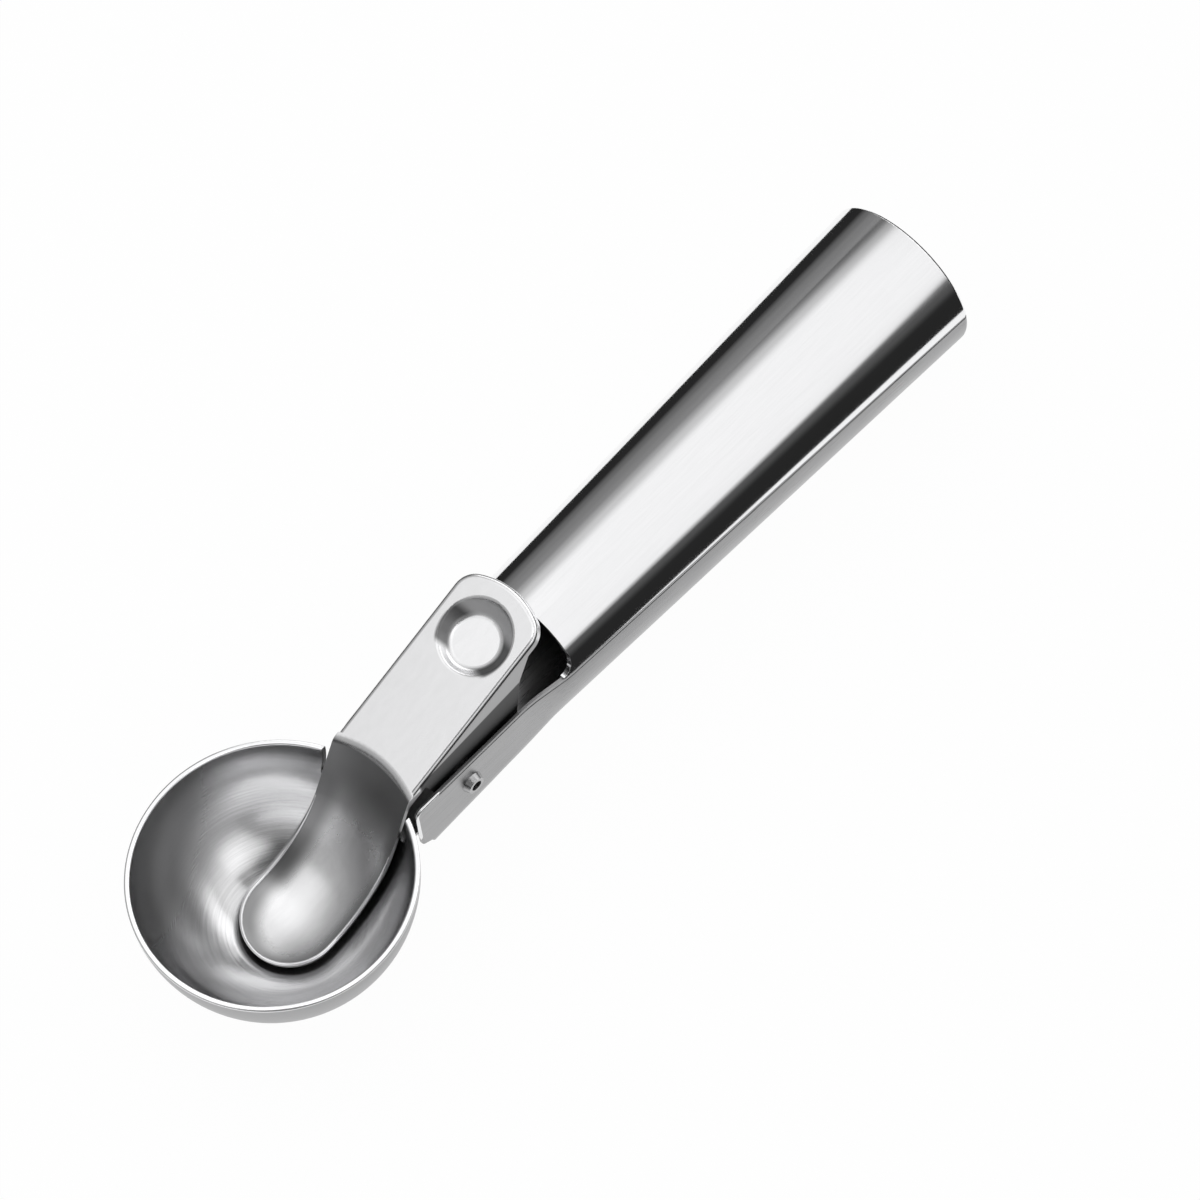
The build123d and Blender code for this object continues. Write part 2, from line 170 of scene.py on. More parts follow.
# %% Wind the wire
wire = bmesh.new()
first_ring = start_disc(wire, coil_place(0.0), coil_heading(0.0), WIRE_RADIUS, WIRE_SIDES, capped=False)
wound = bmesh.ops.spin(
    wire, geom=first_ring, cent=PIVOT, axis=(0.0, 1.0, 0.0), angle=COIL_SWEEP, steps=coil_steps,
    dvec=(0.0, COIL_SWEEP * coil_lean / coil_steps, 0.0), use_merge=False, use_normal_flip=False,
    use_duplicate=False,
)
last_ring = [item for item in wound["geom_last"] if isinstance(item, bmesh.types.BMEdge)]
pull_leg(wire, first_ring, -coil_heading(0.0), FLOOR_LEG)
pull_leg(wire, last_ring, coil_heading(COIL_SWEEP), PLATE_LEG)
bmesh.ops.remove_doubles(wire, verts=wire.verts, dist=MERGE_WITHIN)
spring_wire = smooth_piece("spring_wire", wire)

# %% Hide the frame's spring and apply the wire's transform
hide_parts("return_spring")
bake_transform(spring_wire)

# %% [markdown]
# ## The polished rim of the tongue
# The tongue is blanked from sheet, and its edge is rolled over and polished, which draws a thin bright
# line round it. A bevel on the solid would do, but the solid stays as the frame has it, so the roll is a
# slim bead of its own. A ring is pulled along the tongue's outline step by step, turned at each step to
# face along it, and made smaller at both ends, where the roll runs out into the bend.

# %% Outline of the tongue on its ball
BOWL_CENTRE = Vector((-69.0, 0.0, 26.0)) * MM
TONGUE_BALL = 23.1 * MM
TIP_CENTRE = 1.7 * MM
BEAD_HALF = 9.1 * MM
BEAD_END = 18.6 * MM
BEAD_RADIUS = 0.34 * MM
BEAD_SIDES = 10
SIDE_STEPS = 18
TIP_STEPS = 40
RUN_OUT = 5


def on_ball(along, across):
    """Point of the tongue's upper side below a point of its plan."""
    drop = math.sqrt(TONGUE_BALL ** 2 - along ** 2 - across ** 2)
    return BOWL_CENTRE + Vector((along, across, -drop))


side_places = [BEAD_END + (TIP_CENTRE - BEAD_END) * step / SIDE_STEPS for step in range(SIDE_STEPS)]
tip_angles = [math.pi * step / TIP_STEPS for step in range(TIP_STEPS + 1)]
outline = [on_ball(along, -BEAD_HALF) for along in side_places]
outline += [on_ball(TIP_CENTRE - BEAD_HALF * math.sin(a), -BEAD_HALF * math.cos(a)) for a in tip_angles]
outline += [on_ball(along, BEAD_HALF) for along in reversed(side_places)]
print("rim bead follows", len(outline), "places")


# %% Pull a bead along an outline
def pull_bead(name, line, radius):
    """Round bead along a line of places, made smaller at both ends; a new piece."""
    headings = [(b - a).normalized() for a, b in zip(line, line[1:])]
    headings.append(headings[-1])
    sizes = [min(1.0, (1 + step) / RUN_OUT, (len(line) - step) / RUN_OUT) for step in range(len(line))]
    bead = bmesh.new()
    ring = start_disc(bead, line[0], headings[0], radius * sizes[0], BEAD_SIDES, capped=True)
    for step in range(1, len(line)):
        front, ring = pull_ring(bead, ring)
        turn = headings[step - 1].rotation_difference(headings[step]).to_matrix().to_4x4()
        grow = Matrix.Scale(sizes[step] / sizes[step - 1], 4)
        shift = Matrix.Translation(line[step]) @ turn @ grow @ Matrix.Translation(-line[step - 1])
        bmesh.ops.transform(bead, matrix=shift, verts=front)
    bmesh.ops.contextual_create(bead, geom=ring)
    return smooth_piece(name, bead)


tongue_rim = pull_bead("tongue_rim", outline, BEAD_RADIUS)
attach(tongue_rim, "lever")

# %% [markdown]
# ## The polished edges of the cheeks
# The two cheeks of the trough end at the bowl, on both sides of its notch, and their sheet edges there
# are ground round, so that they don't cut the hand. The ground edge glints from the top over the corner
# down to the foot. A bevel can't be cut into the frame's solid, but the tongue's bead does it here too:
# its line runs along the top edge, round the corner and down.

# %% Lines of the two ground edges
CHEEK_FRONT = -43.7 * MM
CHEEK_TOP = 24.6 * MM
CHEEK_FOOT = 13.2 * MM
CHEEK_MIDDLE = 10.3 * MM
CHEEK_CORNER = 1.6 * MM
EDGE_RUN = 6.4 * MM
EDGE_INSET = 0.22 * MM
EDGE_RADIUS = 0.44 * MM
CORNER_STEPS = 8

corner_x = CHEEK_FRONT + CHEEK_CORNER
corner_z = CHEEK_TOP - CHEEK_CORNER
edge_round = CHEEK_CORNER - EDGE_INSET


def cheek_line(across):
    """Places along the ground edge of the cheek at a distance from the middle."""
    line = []
    for step in range(SIDE_STEPS):
        behind = (EDGE_RUN - CHEEK_CORNER) * (1 - step / SIDE_STEPS)
        line.append(Vector((corner_x + behind, across, CHEEK_TOP - EDGE_INSET)))
    for step in range(CORNER_STEPS + 1):
        angle = math.pi / 2 * step / CORNER_STEPS
        ahead, up = edge_round * math.sin(angle), edge_round * math.cos(angle)
        line.append(Vector((corner_x - ahead, across, corner_z + up)))
    for step in range(1, SIDE_STEPS + 1):
        down = (corner_z - CHEEK_FOOT) * step / SIDE_STEPS
        line.append(Vector((CHEEK_FRONT + EDGE_INSET, across, corner_z - down)))
    return line


# %% Beads on the two ground edges
cheek_rims = []
for name, across in (("near_cheek_rim", -CHEEK_MIDDLE), ("far_cheek_rim", CHEEK_MIDDLE)):
    rim = pull_bead(name, cheek_line(across), EDGE_RADIUS)
    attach(rim, "base")
    cheek_rims.append(rim)

# %% [markdown]
# ## Effects that the steels share
# Brushing leaves fine lines in the metal, and handling leaves a soft haze. Each is a node group, so that
# every steel can have it at its own scale. They read Object coordinates, which are metres on the scoop,
# because the solids have no UV maps.


# %% Helpers for node trees
def add_node(tree, kind, **settings):
    """New node with its plain properties set."""
    node = tree.nodes.new(kind)
    for name, value in settings.items():
        setattr(node, name, value)
    return node


def link(tree, source, target):
    """Link from an output to an input."""
    tree.links.new(source, target)


def give(tree, socket, value):
    """Gives an input its value: a link where that is a socket, or else a plain number or vector."""
    if isinstance(value, bpy.types.NodeSocket):
        link(tree, value, socket)
    else:
        socket.default_value = value


def math_node(tree, operation, *values):
    """Math node on sockets or numbers; its result."""
    node = add_node(tree, "ShaderNodeMath", operation=operation)
    for socket, value in zip(node.inputs, values):
        give(tree, socket, value)
    return node.outputs["Value"]


def vector_node(tree, operation, *values, result="Vector"):
    """Vector math node on sockets or vectors; its result, which is a Value for a length or a product."""
    node = add_node(tree, "ShaderNodeVectorMath", operation=operation)
    for socket, value in zip(node.inputs, values):
        give(tree, socket, value)
    return node.outputs[result]


# %% Helpers for places and noise
def object_place(tree):
    """Place of a point of the surface, in metres on the scoop."""
    return add_node(tree, "ShaderNodeTexCoord").outputs["Object"]


def split(tree, vector):
    """X, Y and Z of a vector, by name."""
    axes = add_node(tree, "ShaderNodeSeparateXYZ")
    link(tree, vector, axes.inputs[0])
    return axes.outputs


def length_of(tree, first, second):
    """Length of a vector from its two parts."""
    squares = [math_node(tree, "POWER", part, 2.0) for part in (first, second)]
    return math_node(tree, "SQRT", math_node(tree, "ADD", *squares))


def noise(tree, vector, detail, roughness, scale=1.0):
    """Noise in space, mostly near the middle of zero to one."""
    grain = add_node(tree, "ShaderNodeTexNoise", noise_dimensions="3D")
    values = {"Vector": vector, "Scale": scale, "Detail": detail, "Roughness": roughness}
    for label, value in values.items():
        give(tree, grain.inputs[label], value)
    return grain.outputs["Fac"]


def new_group(name, inputs, output):
    """Shader node group with float or vector inputs and one float output."""
    group = bpy.data.node_groups.new(name, "ShaderNodeTree")
    for label, default in inputs.items():
        kind = "NodeSocketFloat" if isinstance(default, float) else "NodeSocketVector"
        group.interface.new_socket(label, in_out="INPUT", socket_type=kind).default_value = default
    group.interface.new_socket(output, in_out="OUTPUT", socket_type="NodeSocketFloat")
    given = add_node(group, "NodeGroupInput").outputs
    return group, given, add_node(group, "NodeGroupOutput").inputs[output]


# %% Straight brushing
line_brushing, given, lines = new_group("line_brushing", {"Stretch": (60.0, 4000.0, 4000.0)}, "Lines")
drawn_out = vector_node(line_brushing, "MULTIPLY", object_place(line_brushing), given["Stretch"])
link(line_brushing, noise(line_brushing, drawn_out, detail=3.0, roughness=0.65), lines)

# %% Ring brushing, as a wheel leaves it in the turned bowl
ring_brushing, given, lines = new_group(
    "ring_brushing", {"Centre": (0.0, 0.0, 0.0), "Around": 40.0, "Across": 60.0}, "Lines"
)
off = vector_node(ring_brushing, "SUBTRACT", object_place(ring_brushing), given["Centre"])
axes = split(ring_brushing, off)
below = math_node(ring_brushing, "MULTIPLY", axes["Z"], -1.0)
tilt = math_node(ring_brushing, "ARCTAN2", length_of(ring_brushing, axes["X"], axes["Y"]), below)
swept = add_node(ring_brushing, "ShaderNodeCombineXYZ")
for label, part, scale in (("X", axes["X"], "Around"), ("Y", axes["Y"], "Around"), ("Z", tilt, "Across")):
    link(ring_brushing, math_node(ring_brushing, "MULTIPLY", part, given[scale]), swept.inputs[label])
link(ring_brushing, noise(ring_brushing, swept.outputs[0], detail=4.0, roughness=0.7), lines)

# %% Haze from handling and washing
handling_haze, given, haze = new_group("handling_haze", {"Size": 90.0}, "Haze")
cloud = noise(handling_haze, object_place(handling_haze), detail=5.0, roughness=0.55, scale=given["Size"])
link(handling_haze, cloud, haze)
print("node groups:", [g.name for g in bpy.data.node_groups])

# %% [markdown]
# ## The steels
# Each finish is a Principled BSDF that is all metal. The brushing shifts its colour and roughness a
# little and on most pieces raises a fine bump, and the haze dulls it in soft patches. The bowl was
# polished while it turned, so its highlight is drawn out across the rings: that is anisotropy, with its
# tangent round the bowl's axis.

# %% Steel builder
NOISE_LOW, NOISE_HIGH = 0.3, 0.7
BLUE_SHARE = 1.01
BRUSH_DEPTH = 0.02 * MM
HAZE_SIZE = 70.0


def place_group(tree, group, values):
    """Outputs of a group node in a material, with its own values."""
    node = add_node(tree, "ShaderNodeGroup", node_tree=group)
    for label, value in values.items():
        node.inputs[label].default_value = value
    return node.outputs


def spread(tree, source, low, high):
    """Maps a noise value round the middle onto a range."""
    node = add_node(tree, "ShaderNodeMapRange", clamp=True)
    values = {"Value": source, "From Min": NOISE_LOW, "From Max": NOISE_HIGH, "To Min": low, "To Max": high}
    for label, value in values.items():
        give(tree, node.inputs[label], value)
    return node.outputs["Result"]


def grey(level):
    """Steel's colour at a level, hardly cooler than grey."""
    return (level, level, level * BLUE_SHARE, 1.0)


def make_steel(name, tone, rough, bump, brushing, values, haze_share=0.03):
    """Steel whose colour, roughness and relief follow its brushing and its haze."""
    material = bpy.data.materials.new(name)
    material.use_nodes = True
    tree = material.node_tree
    shader = tree.nodes["Principled BSDF"]
    shader.inputs["Metallic"].default_value = 1.0
    lines = place_group(tree, brushing, values)["Lines"]
    haze = place_group(tree, handling_haze, {"Size": HAZE_SIZE})["Haze"]
    mixed = add_node(tree, "ShaderNodeMix", data_type="RGBA")
    mixed.inputs["A"].default_value, mixed.inputs["B"].default_value = (grey(level) for level in tone)
    link(tree, spread(tree, lines, 0.0, 1.0), mixed.inputs["Factor"])
    link(tree, mixed.outputs["Result"], shader.inputs["Base Color"])
    dulled = spread(tree, haze, -haze_share, haze_share)
    link(tree, math_node(tree, "ADD", spread(tree, lines, *rough), dulled), shader.inputs["Roughness"])
    if bump:
        relief = add_node(tree, "ShaderNodeBump")
        relief.inputs["Strength"].default_value = bump
        relief.inputs["Distance"].default_value = BRUSH_DEPTH
        link(tree, lines, relief.inputs["Height"])
        link(tree, relief.outputs["Normal"], shader.inputs["Normal"])
    return material


# %% Steels of the stampings
bowl_steel = make_steel(
    "satin_bowl", tone=(0.64, 0.86), rough=(0.17, 0.23), bump=0.06,
    brushing=ring_brushing, values={"Centre": BOWL_CENTRE, "Around": 60.0, "Across": 170.0},
)
cover_steel = make_steel(
    "mirror_cover", tone=(0.89, 0.92), rough=(0.09, 0.11), bump=0.0, haze_share=0.005,
    brushing=line_brushing, values={"Stretch": (40.0, 2500.0, 2500.0)},
)
trough_steel = make_steel(
    "satin_trough", tone=(0.31, 0.39), rough=(0.26, 0.34), bump=0.1,
    brushing=line_brushing, values={"Stretch": (80.0, 3000.0, 3000.0)},
)
lever_steel = make_steel(
    "satin_lever", tone=(0.81, 0.85), rough=(0.255, 0.27), bump=0.0, haze_share=0.006,
    brushing=line_brushing, values={"Stretch": (150.0, 700.0, 700.0)},
)

# %% Steels of the small pieces
edge_steel = make_steel(
    "polished_edge", tone=(0.8, 0.88), rough=(0.16, 0.22), bump=0.02,
    brushing=line_brushing, values={"Stretch": (600.0, 600.0, 600.0)},
)
rivet_steel = make_steel(
    "rivet_steel", tone=(0.34, 0.52), rough=(0.22, 0.34), bump=0.1,
    brushing=line_brushing, values={"Stretch": (1500.0, 200.0, 1500.0)},
)
spring_steel = make_steel(
    "spring_steel", tone=(0.4, 0.58), rough=(0.2, 0.32), bump=0.1,
    brushing=line_brushing, values={"Stretch": (900.0, 900.0, 900.0)},
)
zinc_steel = make_steel(
    "zinc_steel", tone=(0.46, 0.62), rough=(0.3, 0.42), bump=0.1,
    brushing=line_brushing, values={"Stretch": (1200.0, 400.0, 1200.0)},
)

# %% Dress the pieces
finishes = {
    "bowl": bowl_steel, "upper_shell": cover_steel, "lower_shell": trough_steel,
    "thumb_lever": lever_steel, "pivot_rivet": rivet_steel, "pivot_sleeve": zinc_steel,
    "near_washer": zinc_steel, "far_washer": zinc_steel,
}
for node_name, finish in finishes.items():
    for held in nodes[node_name].material_slots:
        held.material = finish
spring_wire.data.materials.append(spring_steel)
for rim in (tongue_rim, *cheek_rims):
    rim.data.materials.append(edge_steel)
print("finishes:", [m.name for m in bpy.data.materials if m.users])

# %% Rings of the bowl draw its highlight out
bowl_tree = bowl_steel.node_tree
bowl_shader = bowl_tree.nodes["Principled BSDF"]
bowl_shader.inputs["Anisotropic"].default_value = 0.35
bowl_shader.inputs["Anisotropic Rotation"].default_value = 0.25
around_axis = add_node(bowl_tree, "ShaderNodeTangent", direction_type="RADIAL", axis="Z")
link(bowl_tree, around_axis.outputs["Tangent"], bowl_shader.inputs["Tangent"])
print("bowl's tangent runs round", around_axis.axis)

# %% [markdown]
# ## Places with a tone of their own, and places of painted shade
# In the photograph a stamping's steel isn't the same all over: the bowl's rim is bright and its outside
# dull, and the sheet looks darker on its steep walls and where it turns down to an edge. Part of that is
# the room it stood in, which the studio here can't give at every place. There the steel's colour is made
# darker, which is painted shade: on the bowl's far wall, at the tongue's root and along its outline, on the
# sides and rear of the thumb hollow, and on the lever's flanges. Such places could be painted, but the
# solids have no UV maps. So each is a mask with soft limits, worked out from the place on the piece,
# which mixes another tone and roughness into the finish and moves with the lever.


# %% Helpers for masks
def slope(tree, source, start, end, low=0.0, high=1.0):
    """Smooth step of a value between two places."""
    node = add_node(tree, "ShaderNodeMapRange", interpolation_type="SMOOTHSTEP")
    values = {"Value": source, "From Min": start, "From Max": end, "To Min": low, "To Max": high}
    for label, value in values.items():
        give(tree, node.inputs[label], value)
    return node.outputs["Result"]


def all_of(tree, first, *others):
    """Product of masks, which is one only where all of them are."""
    for other in others:
        first = math_node(tree, "MULTIPLY", first, other)
    return first


def tone_and_painted_shade(material, mask, colour, rough):
    """Mixes another colour and roughness into a finish where a mask, built on the finish's tree, is one:
    another tone at the bowl's rim and outside, painted shade at the other places.
    """
    tree = material.node_tree
    shader = tree.nodes["Principled BSDF"]
    share = mask(tree, object_place(tree))
    for label, kind, value in (("Base Color", "RGBA", grey(colour)), ("Roughness", "FLOAT", rough)):
        socket = shader.inputs[label]
        mixed = add_node(tree, "ShaderNodeMix", data_type=kind)
        link(tree, share, mixed.inputs["Factor"])
        link(tree, socket.links[0].from_socket, mixed.inputs["A"])
        mixed.inputs["B"].default_value = value
        link(tree, mixed.outputs["Result"], socket)
    print(material.name, "has a place of tone", colour, "and now", len(tree.nodes), "nodes")


# %% Tones of the bowl, and painted shade on its far wall
FAR_WALL_WAY = Vector((-0.48, 0.877, 0.0))
FAR_WALL_RISE = (11.0 * MM, 21.0 * MM)
FAR_WALL_MOST = 0.94
OUTER_SIDE = (25.3 * MM, 25.7 * MM)
UNDER_RIM = (25.7 * MM, 25.3 * MM)
RIM_TOP = (25.6 * MM, 25.8 * MM)


def far_wall_painted_shade(tree, place):
    """Painted shade that rises up the far side of the bowl's inside."""
    off = vector_node(tree, "SUBTRACT", place, BOWL_CENTRE)
    sideways = vector_node(tree, "DOT_PRODUCT", off, FAR_WALL_WAY, result="Value")
    return slope(tree, sideways, *FAR_WALL_RISE, 0.0, FAR_WALL_MOST)


def outside_bowl(tree, place):
    """One on the outer side of the bowl's wall."""
    reach = vector_node(tree, "DISTANCE", place, BOWL_CENTRE, result="Value")
    under_rim = slope(tree, split(tree, place)["Z"], *UNDER_RIM)
    return all_of(tree, slope(tree, reach, *OUTER_SIDE), under_rim)


def bowl_rim(tree, place):
    """One on the ground top of the bowl's rim."""
    return slope(tree, split(tree, place)["Z"], *RIM_TOP)


# Painted shade: the steel's colour is darker up the bowl's far inner wall. The outside is made darker and
# rougher, and the rim brighter and smoother.
tone_and_painted_shade(bowl_steel, far_wall_painted_shade, colour=0.26, rough=0.3)
tone_and_painted_shade(bowl_steel, outside_bowl, colour=0.4, rough=0.36)
tone_and_painted_shade(bowl_steel, bowl_rim, colour=0.95, rough=0.16)

# %% Painted shade on the tongue
ROOT_RISE = (8.0 * MM, 24.0 * MM)
UNDER_BEND = (29.0 * MM, 28.2 * MM)
BEFORE_BEND = (-40.4 * MM, -41.2 * MM)
OUTLINE_RISE = (5.0 * MM, 8.6 * MM)
OUTLINE_MOST = 0.85
OUTLINE_START = (-44.0 * MM, -48.0 * MM)
FAR_SIDE_SHIFT = 1.0 * MM


def tongue_root_painted_shade(tree, place):
    """Painted shade at the root of the tongue, below the bend, fading out along the tongue."""
    axes = split(tree, place)
    under_bend = slope(tree, axes["Z"], *UNDER_BEND)
    before_bend = slope(tree, axes["X"], *BEFORE_BEND)
    return all_of(tree, slope(tree, axes["Z"], *ROOT_RISE), under_bend, before_bend)


def tongue_edge_painted_shade(tree, place):
    """Painted shade near the tongue's outline, in place of the dark reflection where its sheet turns down;
    it rises to the outline and is wider at the far side.
    """
    axes = split(tree, place)
    past_tip = math_node(tree, "SUBTRACT", axes["X"], BOWL_CENTRE.x + TIP_CENTRE)
    ahead = math_node(tree, "MINIMUM", past_tip, 0.0)
    reach = length_of(tree, ahead, math_node(tree, "ADD", axes["Y"], FAR_SIDE_SHIFT))
    outline_share = slope(tree, reach, *OUTLINE_RISE, 0.0, OUTLINE_MOST)
    return all_of(tree, outline_share, slope(tree, axes["X"], *OUTLINE_START))


# Painted shade: darker steel at the tongue's root, below the bend.
tone_and_painted_shade(lever_steel, tongue_root_painted_shade, colour=0.26, rough=0.3)
# Painted shade: darker steel along the tongue's outline.
tone_and_painted_shade(lever_steel, tongue_edge_painted_shade, colour=0.22, rough=0.3)

# %% Painted shade in the thumb hollow
DISH_CENTRE = Vector((-16.81, 0.0, 39.43)) * MM
PLATE_ALONG = Vector((0.9304, 0.0, 0.3665))
WALL_FOOT = (4.6 * MM, 5.4 * MM)
WALL_TOP = (7.5 * MM, 6.9 * MM)
FRONT_END = (-4.9 * MM, -3.5 * MM)
REAR_START = (2.2 * MM, 4.8 * MM)


def dish_ring(tree, place):
    """Mask of the hollow's steep wall, and how far a point is up the plate from the hollow's centre."""
    off = vector_node(tree, "SUBTRACT", place, DISH_CENTRE)
    up_plate = vector_node(tree, "DOT_PRODUCT", off, PLATE_ALONG, result="Value")
    reach = length_of(tree, up_plate, split(tree, off)["Y"])
    return all_of(tree, slope(tree, reach, *WALL_FOOT), slope(tree, reach, *WALL_TOP)), up_plate


def dish_sides_painted_shade(tree, place):
    """Painted shade on the two sides of the wall, without its front and its rear."""
    ring, up_plate = dish_ring(tree, place)
    not_rear = slope(tree, up_plate, *reversed(REAR_START))
    return all_of(tree, ring, slope(tree, up_plate, *FRONT_END), not_rear)


def dish_rear_painted_shade(tree, place):
    """Painted shade on the rear of the wall, which is also rougher."""
    ring, up_plate = dish_ring(tree, place)
    return all_of(tree, ring, slope(tree, up_plate, *REAR_START))


# Painted shade: dark arcs on the sides of the hollow's wall.
tone_and_painted_shade(lever_steel, dish_sides_painted_shade, colour=0.2, rough=0.36)
# Painted shade: the rear of the hollow's wall is a little darker, and rougher.
tone_and_painted_shade(lever_steel, dish_rear_painted_shade, colour=0.75, rough=0.6)

# %% Painted shade on the lever's flanges
FLANGE_LEAN = 0.104
FLANGE_SIDE = (8.9 * MM, 9.2 * MM)
BEHIND_BEND = (-41.2 * MM, -40.4 * MM)
HALF_FADE = 0.25 * MM
OVER_THE_LEVER = 60.0 * MM
FLANGE_SHADE = 34.45 * MM


def flange_painted_shade_mask(level):
    """Painted shade on the lever's side flanges below a sloping line, whose height is given."""
    def build(tree, place):
        axes = split(tree, place)
        rise = math_node(tree, "SUBTRACT", axes["Z"], math_node(tree, "MULTIPLY", axes["X"], FLANGE_LEAN))
        under = slope(tree, rise, level + HALF_FADE, level - HALF_FADE)
        side = slope(tree, math_node(tree, "ABSOLUTE", axes["Y"]), *FLANGE_SIDE)
        return all_of(tree, under, side, slope(tree, axes["X"], *BEHIND_BEND))
    return build


# Painted shade: the flanges' steel is darker all over, and much darker below a lower line.
tone_and_painted_shade(lever_steel, flange_painted_shade_mask(OVER_THE_LEVER), colour=0.36, rough=0.3)
tone_and_painted_shade(lever_steel, flange_painted_shade_mask(FLANGE_SHADE), colour=0.06, rough=0.42)

# %% [markdown]
# ## True roundness of the mirror
# The cover arrives as small triangles with its true normals at their corners, and between the corners
# these are only blended, which bends a mirror's reflections a little. More triangles would help, but the
# cover is a plain cone, so its normal can be worked out at every point instead: away from the axis, and
# leaning back by as much as the cone opens.

# %% Distance from the cone's axis
MOUTH_X = -4.3 * MM
MOUTH_AXIS = 20.7 * MM
MOUTH_RADIUS = 12.7 * MM
CONE_RUN = 99.3 * MM
AXIS_RISE = 1.5 * MM / CONE_RUN
RADIUS_RISE = 3.2 * MM / CONE_RUN
ON_CONE = (0.12 * MM, 0.05 * MM)

tree = cover_steel.node_tree
axes = split(tree, object_place(tree))
along = math_node(tree, "SUBTRACT", axes["X"], MOUTH_X)
axis_height = math_node(tree, "ADD", math_node(tree, "MULTIPLY", along, AXIS_RISE), MOUTH_AXIS)
up = math_node(tree, "SUBTRACT", axes["Z"], axis_height)
reach = length_of(tree, axes["Y"], up)
cone_radius = math_node(tree, "ADD", math_node(tree, "MULTIPLY", along, RADIUS_RISE), MOUTH_RADIUS)
apart = math_node(tree, "ABSOLUTE", math_node(tree, "SUBTRACT", reach, cone_radius))
print("cone opens by", round(math.degrees(math.atan(RADIUS_RISE)), 2), "degrees")

# %% Normals of the cone
out_y = math_node(tree, "DIVIDE", axes["Y"], reach)
out_z = math_node(tree, "DIVIDE", up, reach)
lean = math_node(tree, "SUBTRACT", math_node(tree, "MULTIPLY", out_z, -AXIS_RISE), RADIUS_RISE)
cone_normal = add_node(tree, "ShaderNodeCombineXYZ")
for label, part in (("X", lean), ("Y", out_y), ("Z", out_z)):
    link(tree, part, cone_normal.inputs[label])
blended = add_node(tree, "ShaderNodeMix", data_type="VECTOR")
link(tree, slope(tree, apart, *ON_CONE), blended.inputs["Factor"])
link(tree, add_node(tree, "ShaderNodeNewGeometry").outputs["Normal"], blended.inputs["A"])
link(tree, cone_normal.outputs["Vector"], blended.inputs["B"])
even = vector_node(tree, "NORMALIZE", blended.outputs["Result"])
link(tree, even, tree.nodes["Principled BSDF"].inputs["Normal"])
print("mirror_cover has", len(tree.nodes), "nodes")

# %% [markdown]
# ## The studio
# Mirror-polished steel shows only what stands round it, so the studio is half of its finish. The cover's
# white band is a wide card of light overhead and a second one at the right, and its dark bands are the
# dim room beside them. Two more cards light the bowl and the tongue. A white world alone would leave the
# metal without form. So the world and the floor are white to the camera, and a dim dome, the four cards
# and a dark cloth on the floor stand in reflections only.

# %% World
WHITE = (1.0, 1.0, 1.0, 1.0)
WORLD_FILL = 0.6


def bright_rays(tree):
    """One where a ray comes from the camera, a reflection or a see-through piece."""
    path = add_node(tree, "ShaderNodeLightPath")
    seen = math_node(tree, "MAXIMUM", path.outputs["Is Camera Ray"], path.outputs["Is Glossy Ray"])
    return math_node(tree, "MAXIMUM", seen, path.outputs["Is Transmission Ray"])


world = bpy.data.worlds.new("studio_world")
scene.world = world
world.use_nodes = True
sky = world.node_tree
sky.nodes.clear()
choice = add_node(sky, "ShaderNodeMixShader")
link(sky, bright_rays(sky), choice.inputs[0])
for socket, strength in zip(choice.inputs[1:], (WORLD_FILL, 1.0)):
    background = add_node(sky, "ShaderNodeBackground")
    background.inputs["Color"].default_value = WHITE
    background.inputs["Strength"].default_value = strength
    link(sky, background.outputs[0], socket)
link(sky, choice.outputs[0], add_node(sky, "ShaderNodeOutputWorld").inputs["Surface"])
print("world has", len(sky.nodes), "nodes")


# %% Helpers for the studio
def stage_piece(name, shape, material):
    """Finished piece of the studio, which isn't part of the scoop."""
    piece = new_piece(name, shape)
    piece.data.materials.append(material)
    return piece


def only_reflections(piece):
    """Leaves a piece of the studio out of all but reflections."""
    piece.visible_camera = False
    piece.visible_diffuse = False
    piece.visible_shadow = False
    piece.visible_transmission = False
    piece.visible_volume_scatter = False


def glow_material(name):
    """Material with only a white emission, and the emission's inputs."""
    material = bpy.data.materials.new(name)
    material.use_nodes = True
    tree = material.node_tree
    tree.nodes.clear()
    glow = add_node(tree, "ShaderNodeEmission")
    glow.inputs["Color"].default_value = WHITE
    link(tree, glow.outputs[0], add_node(tree, "ShaderNodeOutputMaterial").inputs["Surface"])
    return material, glow.inputs


def levels_ramp(tree, source, levels):
    """Grey levels along a value, as pairs of place and level."""
    ramp = add_node(tree, "ShaderNodeValToRGB")
    ramp.color_ramp.interpolation = "EASE"
    while len(ramp.color_ramp.elements) < len(levels):
        ramp.color_ramp.elements.new(0.5)
    for stop, (place, level) in zip(ramp.color_ramp.elements, levels):
        stop.position = place
        stop.color = (level, level, level, 1.0)
    link(tree, source, ramp.inputs["Fac"])
    return ramp.outputs["Color"]


# %% [markdown]
# ### The floor and the cloth
# The scoop lies on white paper, which keeps its shadow. Plain paper renders a little grey, so its
# material turns to a white glow for the camera and for reflections, and only a trace of the shadow is
# left. Paper alone would make the trough's sides white as well. So a dark cloth with a hole lies round the
# patch under the scoop, and it is there in reflections only.

# %% Floor
FLOOR_HALF = 4.0
FLOOR_LEVEL = -0.0002
FLOOR_GREY = 0.86
FLOOR_ROUGHNESS = 0.9
FLOOR_GLOW = 0.97

